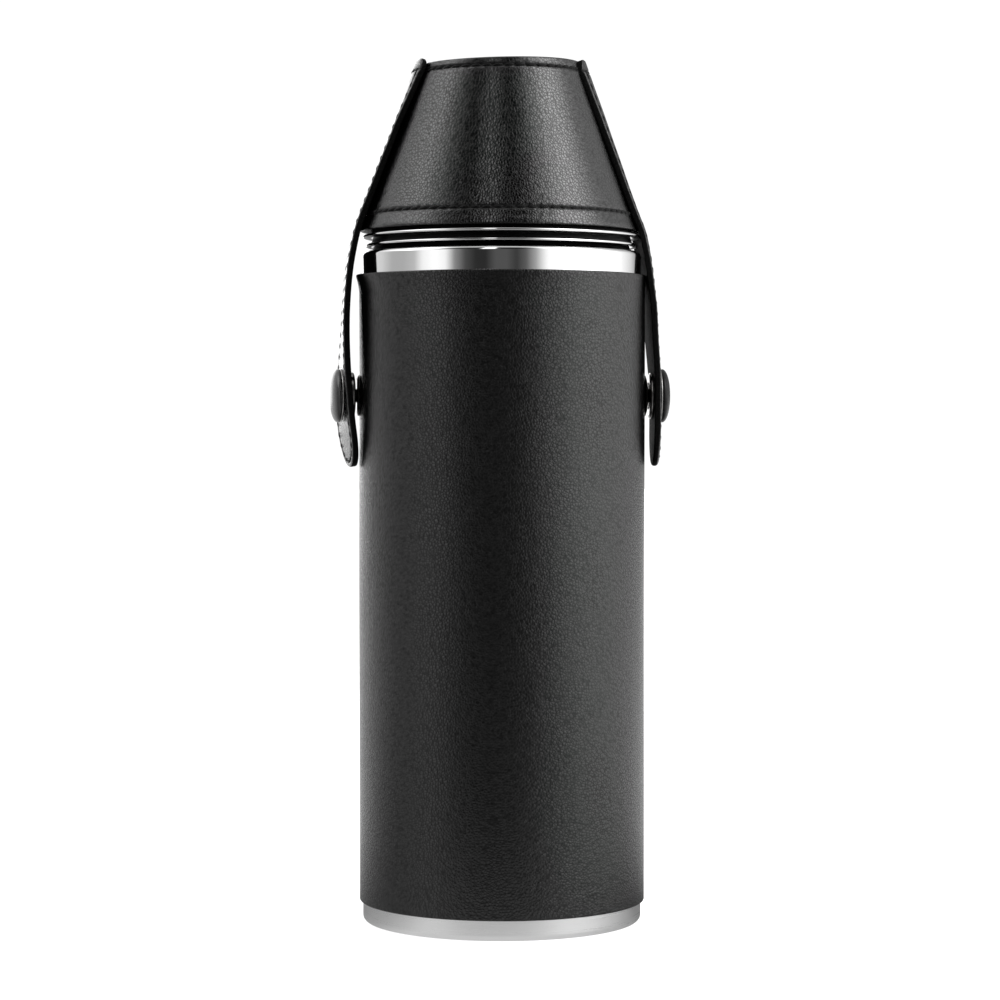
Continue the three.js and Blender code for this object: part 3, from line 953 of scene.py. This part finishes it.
class Strap:
    """One strap, from its sewn top to its tip: s runs down it, y across it and n out of it.

    stand_off lists (height, distance off the cover) and hang lists (height, distance of the inner face from
    the axis) below the hem. twist turns the tail's front edge inward, in degrees. wrap lists (height, how far
    the strap follows the round of the cover there, from 0 for flat to 1)."""

    def __init__(self, side, top, stand_off, hang, twist, wrap, end_round, tip_round, cap_painted_shade):
        self.side = side
        self.wrap = wrap
        self.twist = twist
        self.tip_round = tip_round
        self.cap_painted_shade = cap_painted_shade
        self.end_round = end_round
        z = np.linspace(top, STRAP_HEM + 2.5, 160)
        heights, gaps = zip(*stand_off)
        root = np.column_stack([cover_r(z) + np.interp(z, heights, gaps), z])
        rough = np.vstack([root, [(x, z) for z, x in hang]])
        steps = np.linalg.norm(np.diff(rough, axis=0), axis=1)
        along = np.concatenate([[0], np.cumsum(steps)])
        self.s = np.linspace(0, along[-1], 600)
        line = np.column_stack([np.interp(self.s, along, rough[:, 0]), np.interp(self.s, along, rough[:, 1])])
        # A running mean takes out the corners.
        kernel = np.hanning(61)
        padded = np.pad(line[:, 0], 30, mode="reflect", reflect_type="odd")
        line[:, 0] = np.convolve(padded, kernel / kernel.sum(), "valid")
        self.line = line
        self.length = along[-1]
        self.turn = self.length - STRAP_W / 2
        d = np.gradient(line, self.s, axis=0)
        d /= np.linalg.norm(d, axis=1)[:, None]
        self.normal = np.column_stack([-d[:, 1], d[:, 0]])

    def at(self, s, y, n):
        s, y, n = np.broadcast_arrays(s, y, n)
        z = np.interp(s, self.s, self.line[:, 1])
        turning = 1 - smoothstep(z, SNAP_Z - 10, SNAP_Z + 25)
        n = n + self.side * y * math.tan(math.radians(self.twist)) * turning
        x = np.interp(s, self.s, self.line[:, 0]) + n * np.interp(s, self.s, self.normal[:, 0])
        z = z + n * np.interp(s, self.s, self.normal[:, 1])
        radius = np.maximum(cover_r(z), 15)
        x = x - np.interp(z, *zip(*self.wrap)) * (radius - np.sqrt(radius**2 - y**2))
        return np.stack([self.side * x, self.side * y, z], -1)

    def snap_x(self):
        return np.interp(-SNAP_Z, -self.line[:, 1], self.line[:, 0])

    def edge_distance(self, s, y):
        return STRAP_W / 2 - np.hypot(y, np.maximum(s - self.turn, 0))

    def rounding(self, s, y, radius):
        """How far a face falls away toward the strap's edges, which are rounder at the tip."""
        radius = radius + self.tip_round * smoothstep(s, self.turn, self.turn + 7)
        d = np.clip(radius - self.edge_distance(s, y), 0, radius)
        return radius - np.sqrt(np.clip(radius**2 - d**2, 0, None))

    def top_drop(self, y):
        """How far the rounded top corners lower a strap's end."""
        past = np.clip(np.abs(y) - (STRAP_W / 2 - TOP_CORNER), 0, TOP_CORNER)
        return TOP_CORNER - np.sqrt(np.clip(TOP_CORNER**2 - past**2, 0, None))

    def groove(self, s, y):
        """0 to 1: how near a point is to the line of stitches."""
        round_edge = np.exp(-(((self.edge_distance(s, y) - STITCH_IN) / 0.45) ** 2))
        round_edge = round_edge * smoothstep(s, CROSS_ROW - 0.8, CROSS_ROW)
        across = np.exp(-(((s - CROSS_ROW) / 0.55) ** 2))
        return np.maximum(round_edge, across)

    def outer(self, s, y):
        """Height of the outer face: rounded at the edges, pressed along the stitching, a little domed."""
        e = np.clip(self.end_round - s + self.top_drop(y), 0, self.end_round)
        end = 0.5 * (self.end_round - np.sqrt(np.clip(self.end_round**2 - e**2, 0, None)))
        holes = 0.75 + 0.25 * np.cos(s / PITCH * 2 * math.pi)
        pinch = 0.28 * self.groove(s, y) * holes + 0.18 * np.exp(-(((s - CROSS_ROW) / 0.6) ** 2))
        dome = 0.12 * (1 - (y / 10) ** 2) + 0.03 * np.sin(s / 7 + y / 5) + 0.02 * np.sin(s / 2.3 + 1)
        return SKIN_T - self.rounding(s, y, SKIN_ROUND) - end - pinch + dome

    def mesh(self):
        half = STRAP_W / 2
        at_edge = [0, 0.04, 0.12, 0.25, 0.4, 0.55]
        inward = np.array([*at_edge, 0.85, 1.1, 1.35, 1.6, 1.85, 2.1, 2.5, 3.2, 4.5, 6.2, 8.1])
        v = np.concatenate([inward - half, [0], (half - inward)[::-1]]) / half
        tip = np.radians([0, 6, 12, 18, 24, 30, 36, 42, 47, 52, 57, 62, 66, 70, 74, 77, 80, 83, 86, 88, 89.5])
        top = np.concatenate([[0, 0.04, 0.12, 0.25, 0.4, 0.6, 0.85, 1.15], np.arange(1.5, 5.4, 0.22)])
        middle = np.arange(5.6, self.turn - 0.3, 0.55)
        s = np.concatenate([top, middle, self.turn + half * np.sin(tip)])
        width = np.sqrt(np.clip(half**2 - np.maximum(s - self.turn, 0) ** 2, 0, None))
        y = v[None, :] * width[:, None]
        s = np.repeat(s[:, None], len(v), 1)
        below_top = s
        s = s + self.top_drop(y) * np.clip(1 - s / 8, 0, 1)
        d = np.minimum(self.edge_distance(s, y), below_top)
        inner = self.rounding(s, y, 0.3)
        e = np.clip(self.end_round - below_top, 0, self.end_round)
        inner = inner + 0.5 * (self.end_round - np.sqrt(np.clip(self.end_round**2 - e**2, 0, None)))
        rows, cols = s.shape
        loop = np.concatenate([self.at(s, y, self.outer(s, y)), self.at(s, y, inner)[:, ::-1]], 1)
        cut = 1 - smoothstep(d, 0.04, 0.22)
        # Painted shade in the stitched grooves; the cut edges and the inner, flesh face are the leather's own
        # dullness.
        dull_and_shade = np.concatenate([np.maximum(0.9 * self.groove(s, y), cut), np.ones((rows, cols))], 1)
        faces = grid_faces(rows, 2 * cols, False, True)
        for j in range(cols - 1):
            faces.append([j, 2 * cols - 1 - j, 2 * cols - 2 - j, j + 1])
            last = (rows - 1) * 2 * cols
            faces.append([last + j, last + j + 1, last + 2 * cols - 2 - j, last + 2 * cols - 1 - j])
        return loop.reshape(-1, 3), faces, dull_and_shade.ravel()

    def stitch_places(self):
        edge = STRAP_W / 2 - STITCH_IN
        straight = self.turn - CROSS_ROW
        bend = math.pi * edge
        total = 2 * straight + bend
        count = round(total / PITCH)
        places = []
        for i in range(count):
            p = (i + 0.5) * total / count
            if p < straight:
                places.append((CROSS_ROW + p, -edge, 0))
            elif p < straight + bend:
                a = (p - straight) / edge
                places.append((self.turn + edge * math.sin(a), -edge * math.cos(a), math.degrees(a)))
            else:
                places.append((CROSS_ROW + total - p, edge, 180))
        across_count = round(2 * edge / PITCH)
        for i in range(across_count):
            places.append((CROSS_ROW, -edge + (i + 0.5) * 2 * edge / across_count, 90))
        return places

    def stitching(self):
        def on(u, v, up):
            return self.at(u, v, self.outer(u, v) + 0.04 + up)

        return stitches(self.stitch_places(), on)


def bend_at_hem(obj):
    """Bakes the object's placement into its points; the strap's bend at the cover's hem is already in its
    shape.
    """
    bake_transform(obj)


def snap_cap(side):
    face = SNAP_X + SKIN_T + 0.2
    crest = SNAP_X + STRAP_T + SNAP_CAP_H
    t = np.radians(np.linspace(0, 90, 22))
    dome = np.column_stack([SNAP_CAP_R * np.cos(t) ** 0.86, face + 0.85 + (crest - face - 0.85) * np.sin(t)])
    dome[-1] = (0, crest)
    profile = np.vstack(
        [
            [[0, SNAP_X - 0.4], [1.3, SNAP_X - 0.4], [1.5, SNAP_X - 0.25], [1.5, face + 0.35]],
            [[SNAP_CAP_R - 0.9, face + 0.35], [SNAP_CAP_R - 0.15, face + 0.4]],
            dome,
        ]
    )
    verts, faces = turned(profile, 96)
    return along_x(verts, SNAP_Z, side), faces


def snap_rim(side):
    """The bright rolled edge of the cap, between its dome and the strap."""
    h = SNAP_X + SKIN_T + 0.42
    verts, faces = turned(arc(SNAP_CAP_R - 0.3, h, 0.27, -180, 165, 23), 96)
    return along_x(verts, SNAP_Z, side), faces


def snap_socket(side, stand):
    """stand is how far the strap hangs out from its place; the socket reaches that much further in."""
    mouth = SOCKET_BACK - 1.3 - stand
    hole = [(1.9, SNAP_X - 0.5), (2.7, SNAP_X - 0.5), (2.7, mouth)]
    lip = [(3.6, mouth - 0.02), (3.9, mouth + 0.18), (5.6, mouth + 0.18), (6.5, mouth + 0.45)]
    corners = [*hole, *lip, (6.5, SOCKET_BACK), (1.9, SOCKET_BACK)]
    verts, faces = turned(rounded(corners, [0.05, 0.05, 0.15, 0.15, 0.1, 0.2, 0.35, 0.1, 0.05]), 64)
    return along_x(verts, SNAP_Z, side), faces


def snap_spring(side):
    radius, wire = 2.35, 0.14
    a = np.radians(np.linspace(20, 340, 41))
    b = np.arange(10) / 10 * 2 * math.pi
    r = radius + wire * np.cos(b)[None, :]
    x = (SNAP_X - 0.85) + wire * np.sin(b)[None, :] + 0 * a[:, None]
    y = -side * r * np.cos(a)[:, None]
    verts = np.stack([side * x, y, SNAP_Z + r * np.sin(a)[:, None]], -1).reshape(-1, 3)
    faces = grid_faces(41, 10, False, True)
    faces.append(list(range(10))[::-1])
    faces.append(list(range(400, 410)))
    return verts, faces


def snap_stud(side):
    back = SLEEVE_R + 0.05
    face = SLEEVE_R + 0.7
    inside = [(0, KNOB_TIP - 0.2), (1.65, KNOB_TIP - 0.2), (1.65, back)]
    flange = [(5.6, back), (5.8, back + 0.15), (5.7, back + 0.35), (4.9, face), (3.1, face)]
    waist = [(2.45, face - 0.08), (1.85, face + 0.05), (1.95, face + 0.22)]
    knob = [(1.8, KNOB_TIP - 0.08), (1.5, KNOB_TIP), (0, KNOB_TIP)]
    verts, faces = turned([*inside, *flange, *waist, *knob], 64)
    return along_x(verts, SNAP_Z, side), faces


def stud_post(side):
    head = STEEL_R + 0.05
    end = KNOB_TIP - 0.3
    flat_head = [(0, head), (4.05, head), (4.2, head + 0.12), (4.05, head + 0.3)]
    shank = [(1.6, head + 0.3), (1.5, head + 0.4), (1.5, end - 0.1), (1.4, end), (0, end)]
    verts, faces = turned([*flat_head, *shank], 48)
    return along_x(verts, SNAP_Z, side), faces


def clean(obj):
    """Merges the points that meet at a strap's tip."""
    mesh = bmesh.new()
    mesh.from_mesh(obj.data)
    bmesh.ops.remove_doubles(mesh, verts=mesh.verts, dist=2e-6)
    bmesh.ops.dissolve_degenerate(mesh, edges=mesh.edges, dist=1e-6)
    bmesh.ops.recalc_face_normals(mesh, faces=mesh.faces)
    mesh.to_mesh(obj.data)
    mesh.free()


STRAPS = {
    "left": Strap(
        side=-1,
        top=STRAP_TOP + 0.15,
        stand_off=LEFT_STAND_OFF,
        hang=[(193, 39.8), (186.4, 41.1), (181.9, 41.8), (177, 42.3), (171, 42.65), (163, 43.0), (155, 43.2)]
        + [(147, 43.15), (139, 42.7), (STRAP_TIP, 40.9)],
        twist=9.0,
        wrap=[(183, 0), (196, 0.12), (222, 0.15), (238, 0.8)],
        end_round=1.3,
        tip_round=0.0,
        cap_painted_shade=0.0,
    ),
    "right": Strap(
        side=1,
        top=STRAP_TOP,
        stand_off=[(196, -0.2), (225, -0.4), (240, -0.5)],
        hang=[(193, 38.65), (186.4, 39.8), (180.7, 40.3), (171, 40.9), (163, 41.4), (157, 41.9), (151, 42.35)]
        + [(139, 42.4), (STRAP_TIP, 42.2)],
        twist=2.3,
        wrap=[(172, 0), (188, 0.85), (210, 1)],
        end_round=0.35,
        tip_round=0.4,
        # The right cap's enamel has its shine taken off: a painted shade that darkens it.
        cap_painted_shade=0.8,
    ),
}


def on_strap(verts, strap, share=0.7):
    """A snap part moved and turned from its place in the frame to the strap's inner face. share is how much
    of the tail's twist it follows."""
    centre = np.array([strap.side * SNAP_X, 0, 0])
    x = strap.snap_x()
    a = math.radians(strap.twist * share)
    c, s = math.cos(a), strap.side * math.sin(a)
    p = verts - centre
    turned_verts = np.column_stack([c * p[:, 0] + s * p[:, 1], -s * p[:, 0] + c * p[:, 1], p[:, 2]])
    return turned_verts + np.array([strap.side * x, 0, 0])


for name, strap in STRAPS.items():
    side = strap.side
    body = f"strap_{name}"
    verts, faces, dull_and_shade = strap.mesh()
    skin = make(f"strap_skin_{name}", verts, faces, None, "cover_leather", sharp=60, dull_and_shade=dull_and_shade)
    clean(skin)
    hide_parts(f"strap_root_{name}", f"strap_tail_{name}")
    bend_at_hem(skin)
    sewing = make(f"strap_stitches_{name}", *strap.stitching(), None, "thread")
    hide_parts(f"strap_root_thread_{name}", f"strap_tail_thread_{name}")
    bend_at_hem(sewing)
    for part, shape, slot, share, shade_on_part in (
        ("snap_cap", snap_cap(side), "black_enamel", 0.75, strap.cap_painted_shade),
        ("snap_socket", snap_socket(side, strap.snap_x() - SNAP_X), "dark_nickel", 0.4, 0.0),
        ("snap_spring", snap_spring(side), "dark_nickel", 0.4, 0.0),
    ):
        verts, faces = shape
        verts = on_strap(verts, strap, share)
        # The right cap's enamel loses its shine here as painted shade.
        dull_and_shade = np.full(len(verts), shade_on_part)
        make(f"{part}_skin_{name}", verts, faces, body, slot, [f"{part}_{name}"], dull_and_shade=dull_and_shade)
    verts, faces = snap_rim(side)
    make(f"snap_cap_rim_{name}", on_strap(verts, strap, 0.75), faces, body, "dark_nickel")
    make(f"snap_stud_skin_{name}", *snap_stud(side), "flask", "dark_nickel", [f"snap_stud_{name}"])
    make(f"stud_post_skin_{name}", *stud_post(side), "flask", "dark_nickel", [f"stud_post_{name}"])

# ---- Floor, light and camera ----


def ring_of_light(n, bearing, stops):
    """Brightness round the flask. The stops are (degrees to the right of the camera, brightness)."""
    share = n.range(bearing, -math.pi, math.pi, 0.0, 1.0)
    brightest = max(level for _, level in stops)
    ramp = n.ramp(share, [((degrees + 180) / 360, level / brightest) for degrees, level in stops])
    return n.math("MULTIPLY", ramp, brightest)


def floor():
    """A round, pale floor, far wider than the picture. It looks white to the camera, and steel and leather
    see it glow with painted light, brighter at the sides and darker toward the camera."""
    count = 64
    radius, below = 5, 0.00005  # metres; just below the flask's base
    ring = [i / count * 2 * math.pi for i in range(count)]
    verts = [(radius * math.cos(a), radius * math.sin(a), -below) for a in ring]
    mesh = bpy.data.meshes.new("floor")
    mesh.from_pydata(verts, [], [list(range(count))])
    obj = bpy.data.objects.new("floor", mesh)
    bpy.context.scene.collection.objects.link(obj)
    mat, n = material("pale_floor")
    x, y = (n.add("ShaderNodeSeparateXYZ", {0: n.position}).outputs[i] for i in range(2))
    bearing = n.math("ARCTAN2", x, n.math("MULTIPLY", y, -1.0))
    # Painted light: the floor's glow as reflections see it, far from the flask and near it.
    left = [(-180, 0.9), (-133, 0.88), (-116, 0.75), (-102, 0.5), (-90, 0.45), (-60, 0.75)]
    front = [(-50, 0.6), (-42, 0.35), (-25, 0.22), (0, 0.19), (15, 0.25), (23, 0.4), (32, 0.6)]
    right = [(49, 1.1), (67, 1.6), (88, 1.5), (129, 1.1), (153, 0.75), (180, 0.9)]
    far = ring_of_light(n, bearing, [*left, *front, *right])
    left = [(-180, 0.6), (-110, 0.22), (-70, 0.45), (-45, 0.72)]
    right = [(-20, 0.7), (30, 0.7), (60, 0.42), (97, 0.12), (120, 0.2), (180, 0.6)]
    near = ring_of_light(n, bearing, [*left, *right])
    away = n.add("ShaderNodeVectorMath", {0: n.position}, operation="LENGTH").outputs["Value"]
    lit = n.add("ShaderNodeMix", {"Factor": n.range(away, 0.06, 0.25, 0.0, 1.0), "A": near, "B": far})
    lit = lit.outputs["Result"]
    seen = n.add("ShaderNodeLightPath").outputs["Is Camera Ray"]
    glow = n.add("ShaderNodeMix", {"Factor": seen, "A": lit, "B": 0.72}).outputs["Result"]
    white = n.math("MULTIPLY", seen, 0.8)
    finish_material(
        n,
        Base_Color=n.ramp(white, [(0.0, 0.0), (1.0, 1.0)]),
        Roughness=0.9,
        Specular_IOR_Level=0.0,
        Emission_Color=(1, 1, 1, 1),
        Emission_Strength=glow,
    )
    mesh.materials.append(mat)


def studio():
    """A white room with soft lights at both sides, a strip light above and darkness round the camera."""
    world = bpy.data.worlds.new("studio")
    bpy.context.scene.world = world
    world.use_nodes = True
    world.node_tree.nodes.clear()
    n = Nodes(world.node_tree)
    direction = n.add("ShaderNodeTexCoord").outputs["Generated"]
    x, y, z = (n.add("ShaderNodeSeparateXYZ", {0: direction}).outputs[i] for i in range(3))
    bearing = n.math("ARCTAN2", x, n.math("MULTIPLY", y, -1.0))
    back_left = [(-180, 2.2), (-158, 2.2), (-146, 0.9), (-120, 0.75), (-106, 0.5), (-92, 0.5)]
    left = [(-80, 0.6), (-72, 1.1), (-61, 1.3), (-51, 1.15), (-43, 0.3)]
    front = [(-34, 0.08), (-25, 0.03), (-17, 0.03), (-9, 0.1), (0, 0.1), (8, 0.05), (16, 0.13)]
    right = [(24, 0.45), (33, 1.2), (40, 1.5), (49, 2.0), (58, 2.4), (67, 2.8), (77, 2.6)]
    back_right = [(88, 2.3), (99, 1.8), (113, 1.2), (129, 0.8), (142, 0.3), (180, 0.25)]
    level = ring_of_light(n, bearing, [*back_left, *left, *front, *right, *back_right])
    left = [(-180, 0.8), (-135, 0.9), (-116, 1.5), (-100, 2.6), (-86, 3.2), (-73, 1.8), (-60, 0.45)]
    strip = [(-48, 0.08), (-36, 0.03), (-23, 0.02), (-20, 2.2), (-11, 2.2), (-8, 0.03), (5, 0.01)]
    right = [(14, 0.02), (24, 0.2), (36, 1.4), (48, 3.0), (60, 5.2), (73, 6.6), (86, 3.6)]
    back_right = [(100, 1.2), (116, 0.9), (135, 0.5), (180, 0.3)]
    raised = ring_of_light(n, bearing, [*left, *strip, *right, *back_right])
    up = n.range(z, 0.3, 0.45, 0.0, 1.0)
    sides = n.add("ShaderNodeMix", {"Factor": up, "A": level, "B": raised}).outputs["Result"]
    overhead = n.range(z, 0.8, 0.92, 0.0, 1.0)
    room = n.add("ShaderNodeMix", {"Factor": overhead, "A": sides, "B": 0.8}).outputs["Result"]
    seen = n.add("ShaderNodeLightPath").outputs["Is Camera Ray"]
    shown = n.add("ShaderNodeMix", {"Factor": seen, "A": room, "B": 1.05}).outputs["Result"]
    back = n.add("ShaderNodeBackground", {"Color": (1, 1, 1, 1), "Strength": shown})
    n.add("ShaderNodeOutputWorld", {"Surface": back.outputs["Background"]})


def camera():
    """Level with the flask's upper body, a little to its left, looking slightly down."""
    distance, height, azimuth, pitch, aside = 846.6, 141.5, -4.0, -1.6, -0.5
    a, p = math.radians(azimuth), math.radians(pitch)
    data = bpy.data.cameras.new("camera")
    data.sensor_width = 36.0
    data.lens = 108.6
    data.clip_start = 0.05
    data.clip_end = 50
    cam = bpy.data.objects.new("camera", data)
    back = Vector((math.sin(a), -math.cos(a), 0))
    right = Vector((math.cos(a), math.sin(a), 0))
    cam.location = (back * distance + right * aside) * MM + Vector((0, 0, height * MM))
    forward = Vector((-back.x * math.cos(p), -back.y * math.cos(p), math.sin(p)))
    cam.rotation_mode = "QUATERNION"
    cam.rotation_quaternion = forward.to_track_quat("-Z", "Y")
    bpy.context.scene.collection.objects.link(cam)
    bpy.context.scene.camera = cam


floor()
studio()
camera()
bpy.context.scene.view_settings.view_transform = "Standard"
